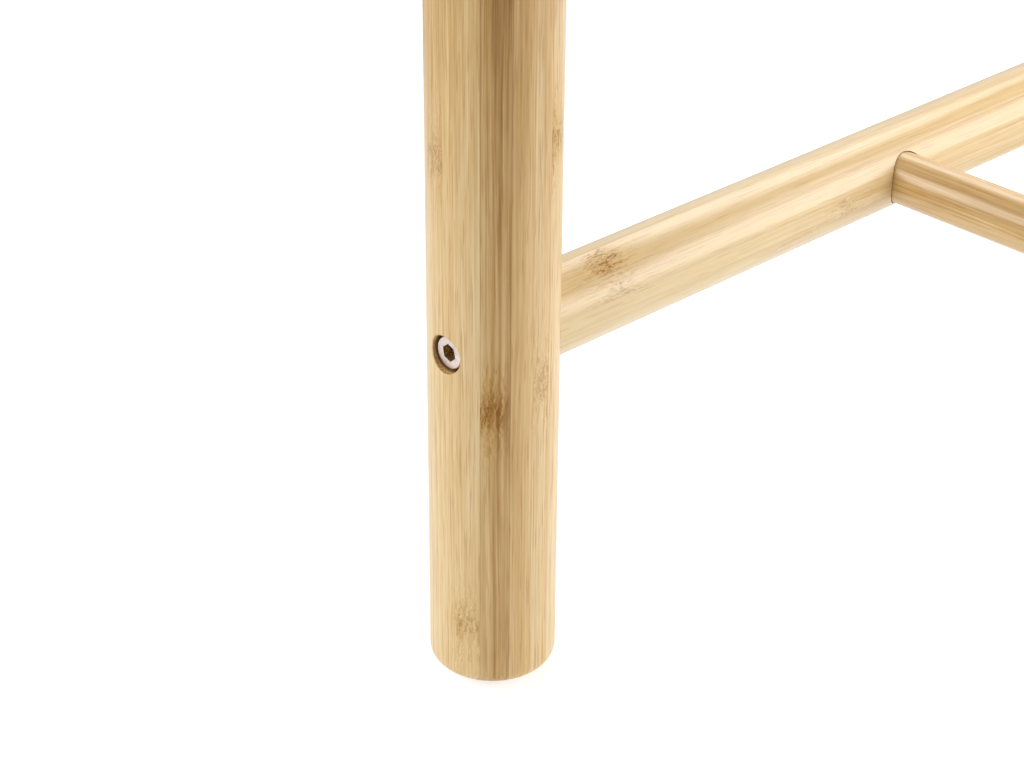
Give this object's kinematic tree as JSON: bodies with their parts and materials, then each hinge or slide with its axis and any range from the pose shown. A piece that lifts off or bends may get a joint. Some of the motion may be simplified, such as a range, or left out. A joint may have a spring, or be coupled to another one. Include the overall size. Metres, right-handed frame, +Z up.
{
  "type": "bench",
  "caption": "Slatted entryway bench on round bamboo legs, tied by round rails and a low cross stretcher, with recessed socket-head bolts.",
  "frame": {"origin": "on the floor, under the centre of the bench", "axes": "+X along the bench's length to its right, -Y towards its front, +Z up"},
  "size_m": [1, 0.4, 0.45],
  "materials": {
    "leg_bamboo": "clear satin lacquer on laminated bamboo",
    "rail_bamboo": "clear satin lacquer on laminated bamboo",
    "stretcher_bamboo": "clear satin lacquer on laminated bamboo",
    "seat_bamboo": "clear satin lacquer on laminated bamboo",
    "pin_wood": "plain fluted hardwood",
    "bolt_steel": "nickel plated, satin",
    "insert_steel": "zinc plated",
    "screw_steel": "yellow zinc plated",
    "pad_felt": "pressed felt"
  },
  "bodies": {
    "root": {"batten_bolts": "bolt_steel", "batten_inserts": "insert_steel", "foot_pad_back_left": "pad_felt", "foot_pad_back_right": "pad_felt", "foot_pad_front_left": "pad_felt", "foot_pad_front_right": "pad_felt", "leg_back_left": "leg_bamboo", "leg_back_right": "leg_bamboo", "leg_front_left": "leg_bamboo", "leg_front_right": "leg_bamboo", "lower_side_rail_bolts": "bolt_steel", "lower_side_rail_inserts": "insert_steel", "lower_side_rail_left": "rail_bamboo", "lower_side_rail_pins": "pin_wood", "lower_side_rail_right": "rail_bamboo", "lower_side_rail_washers": "bolt_steel", "lower_stretcher": "stretcher_bamboo", "seat_batten_left": "seat_bamboo", "seat_batten_middle": "seat_bamboo", "seat_batten_right": "seat_bamboo", "seat_slat_1": "seat_bamboo", "seat_slat_2": "seat_bamboo", "seat_slat_3": "seat_bamboo", "seat_slat_4": "seat_bamboo", "seat_slat_5": "seat_bamboo", "seat_slat_6": "seat_bamboo", "slat_screws": "screw_steel", "stretcher_screws": "screw_steel", "upper_long_rail_back": "rail_bamboo", "upper_long_rail_bolts": "bolt_steel", "upper_long_rail_front": "rail_bamboo", "upper_long_rail_inserts": "insert_steel", "upper_long_rail_pins": "pin_wood", "upper_long_rail_washers": "bolt_steel", "upper_side_rail_bolts": "bolt_steel", "upper_side_rail_inserts": "insert_steel", "upper_side_rail_left": "rail_bamboo", "upper_side_rail_pins": "pin_wood", "upper_side_rail_right": "rail_bamboo", "upper_side_rail_washers": "bolt_steel"}
  },
  "joints": []
}
